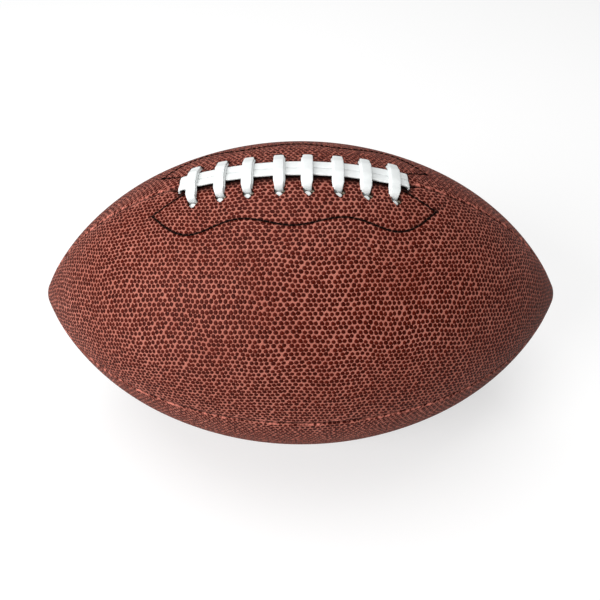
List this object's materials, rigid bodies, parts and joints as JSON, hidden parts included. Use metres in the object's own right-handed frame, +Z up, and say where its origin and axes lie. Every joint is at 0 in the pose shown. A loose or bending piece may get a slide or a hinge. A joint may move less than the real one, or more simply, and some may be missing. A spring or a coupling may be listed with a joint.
{
  "type": "American football",
  "caption": "Prolate inflatable ball of sewn leather panels, with a laced slit on top, a bladder inside and a needle valve.",
  "frame": {"origin": "on the ground straight below the middle of the ball, with the lacing on top", "axes": "+X along the ball, +Z up through the lacing, -Y to the front"},
  "size_m": [0.2868, 0.168, 0.1726],
  "materials": {
    "cover_leather": "pebbled composite leather, glossy pebbles over matte valleys",
    "lining_fabric": "woven cotton lining, impregnated",
    "seam_thread": "waxed seam thread",
    "facing_thread": "black bonded thread",
    "facing_fabric": "impregnated canvas",
    "tongue_rubber": "moulded rubber sheet",
    "lace_plastic": "extruded flat vinyl lace, satin",
    "bladder_rubber": "moulded butyl rubber",
    "valve_rubber": "moulded rubber"
  },
  "bodies": {
    "root": {"bladder": "bladder_rubber", "cover_panel_back_bottom": "cover_leather", "cover_panel_back_top": "cover_leather", "cover_panel_front_bottom": "cover_leather", "cover_panel_front_top": "cover_leather", "facing_stitch_back": "facing_thread", "facing_stitch_front": "facing_thread", "lace_cross_1": "lace_plastic", "lace_cross_2": "lace_plastic", "lace_cross_3": "lace_plastic", "lace_cross_4": "lace_plastic", "lace_cross_5": "lace_plastic", "lace_cross_6": "lace_plastic", "lace_cross_7": "lace_plastic", "lace_cross_8": "lace_plastic", "lace_facing_back": "facing_fabric", "lace_facing_front": "facing_fabric", "lace_inner_runs_back": "lace_plastic", "lace_inner_runs_front": "lace_plastic", "lace_strand_back": "lace_plastic", "lace_strand_front": "lace_plastic", "lace_tongue": "tongue_rubber", "lining_back_bottom": "lining_fabric", "lining_back_top": "lining_fabric", "lining_front_bottom": "lining_fabric", "lining_front_top": "lining_fabric", "seam_thread_back": "seam_thread", "seam_thread_bottom": "seam_thread", "seam_thread_front": "seam_thread", "seam_thread_top": "seam_thread", "valve_body": "valve_rubber", "valve_patch": "valve_rubber", "valve_plug": "valve_rubber"}
  },
  "joints": []
}
